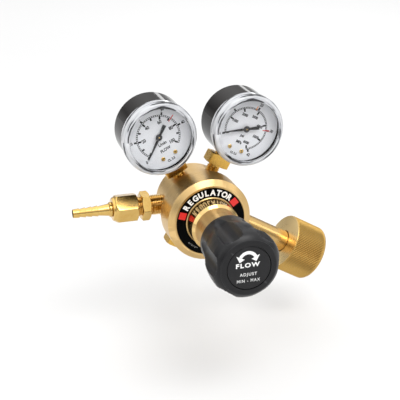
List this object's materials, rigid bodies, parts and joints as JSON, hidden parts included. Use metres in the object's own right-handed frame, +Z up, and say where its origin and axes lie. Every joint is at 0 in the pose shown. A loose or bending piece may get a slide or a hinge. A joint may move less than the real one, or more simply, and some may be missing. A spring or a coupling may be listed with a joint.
{
  "type": "gas regulator",
  "caption": "Single-stage cylinder gas regulator with flow and contents gauges, adjusting knob, knurled inlet nut and barbed hose tail.",
  "frame": {"origin": "centre of the inlet seat, where the stem bears on the cylinder valve", "axes": "+X towards the inlet side, -Y out of the adjusting knob, +Z up with the gauges above the body"},
  "size_m": [0.1952, 0.1403, 0.1579],
  "materials": {
    "brass": "satin turned brass",
    "bright_brass": "polished brass",
    "steel": "satin steel",
    "aluminium": "turned aluminium",
    "bronze": "sintered bronze, matte",
    "rubber": "matte black rubber",
    "nylon": "natural nylon",
    "knob_black": "matte black moulded plastic",
    "label_black": "gloss black printed ring",
    "case_black": "gloss black enamelled steel",
    "clear_plastic": "clear polycarbonate",
    "dial_white": "matte white enamel",
    "pointer_black": "matte black"
  },
  "bodies": {
    "regulator": {"body": "brass", "bonnet": "brass", "label_ring": "label_black", "slip_ring": "steel", "diaphragm": "rubber", "valve_nozzle": "brass", "valve_plug": "brass", "plug_washer": "nylon", "inlet_stem": "brass", "inlet_seal": "rubber", "inlet_filter": "bronze", "outlet_adaptor": "bright_brass", "hose_tail": "bright_brass", "relief_body": "brass", "relief_cap": "brass", "adjusting_spring": "steel", "poppet_spring": "steel", "relief_spring": "steel", "flow_case": "case_black", "flow_blowout_plug": "rubber", "flow_lens": "clear_plastic", "flow_dial": "dial_white", "flow_dial_screw_1": "bright_brass", "flow_dial_screw_2": "bright_brass", "flow_movement_frame": "brass", "flow_bourdon_tube": "brass", "flow_stem": "brass", "pressure_case": "case_black", "pressure_blowout_plug": "rubber", "pressure_lens": "clear_plastic", "pressure_dial": "dial_white", "pressure_dial_screw_1": "bright_brass", "pressure_dial_screw_2": "bright_brass", "pressure_movement_frame": "brass", "pressure_bourdon_tube": "brass", "pressure_stem": "brass"},
    "spring_button": {"spring_button": "steel"},
    "adjuster": {"adjusting_screw": "brass", "knob": "knob_black", "knob_cap": "knob_black", "knob_screw": "steel"},
    "diaphragm_stack": {"diaphragm_plate": "aluminium", "diaphragm_nut": "brass"},
    "poppet": {"poppet": "brass", "poppet_seat": "nylon"},
    "relief_disc": {"relief_disc": "nylon"},
    "hand_nut": {"hand_nut": "brass"},
    "coupling_nut": {"coupling_nut": "bright_brass"},
    "flow_sector": {"flow_sector": "brass"},
    "flow_pointer": {"flow_pointer": "pointer_black", "flow_pinion_shaft": "brass"},
    "pressure_sector": {"pressure_sector": "brass"},
    "pressure_pointer": {"pressure_pointer": "pointer_black", "pressure_pinion_shaft": "brass"}
  },
  "joints": [
    {"name": "button_slide", "type": "slide", "parent": "regulator", "child": "spring_button", "axis": [0, 1, 0], "range_m": [0, 0.0075], "deforming": ["adjusting_spring"]},
    {"name": "knob_turn", "type": "hinge", "parent": "spring_button", "child": "adjuster", "pos_m": [-0.08314, -0.098, 0.048], "axis": [0, 1, 0], "range_deg": [0, 2160]},
    {"name": "diaphragm_lift", "type": "slide", "parent": "regulator", "child": "diaphragm_stack", "axis": [0, 1, 0], "range_m": [0, 0.0006], "stiffness_N_per_m": 500, "deforming": ["diaphragm"]},
    {"name": "poppet_lift", "type": "slide", "parent": "regulator", "child": "poppet", "axis": [0, 1, 0], "range_m": [0, 0.0006], "deforming": ["poppet_spring"]},
    {"name": "relief_lift", "type": "slide", "parent": "regulator", "child": "relief_disc", "axis": [-0.5, 0, -0.866], "range_m": [0, 0.0012], "stiffness_N_per_m": 200, "springref_m": -0.001, "deforming": ["relief_spring"]},
    {"name": "hand_nut_turn", "type": "hinge", "parent": "regulator", "child": "hand_nut", "pos_m": [0, 0, 0], "axis": [0.866, 0, -0.5], "continuous": true},
    {"name": "coupling_nut_turn", "type": "hinge", "parent": "regulator", "child": "coupling_nut", "pos_m": [-0.13814, 0, 0.0498], "axis": [-1, 0, 0], "continuous": true},
    {"name": "flow_sector_turn", "type": "hinge", "parent": "regulator", "child": "flow_sector", "pos_m": [-0.11054, -0.01, 0.09889], "axis": [0, -1, 0], "range_deg": [0, 26.5], "stiffness_Nm_per_rad": 0.0005, "springref_deg": -57.3},
    {"name": "flow_pointer_turn", "type": "hinge", "parent": "regulator", "child": "flow_pointer", "pos_m": [-0.11538, -0.022, 0.10787], "axis": [0, 1, 0], "range_deg": [0, 265.5]},
    {"name": "pressure_sector_turn", "type": "hinge", "parent": "regulator", "child": "pressure_sector", "pos_m": [-0.05574, -0.01, 0.09889], "axis": [0, -1, 0], "range_deg": [0, 27], "stiffness_Nm_per_rad": 0.0005, "springref_deg": -57.3},
    {"name": "pressure_pointer_turn", "type": "hinge", "parent": "regulator", "child": "pressure_pointer", "pos_m": [-0.0509, -0.022, 0.10787], "axis": [0, 1, 0], "range_deg": [0, 270.5]}
  ],
  "couplings": [
    {"joint": "knob_turn", "follows": "button_slide", "rad_per_m": 5026.5},
    {"joint": "poppet_lift", "follows": "diaphragm_lift", "ratio": 1},
    {"joint": "flow_pointer_turn", "follows": "flow_sector_turn", "ratio": 10},
    {"joint": "pressure_pointer_turn", "follows": "pressure_sector_turn", "ratio": 10}
  ]
}
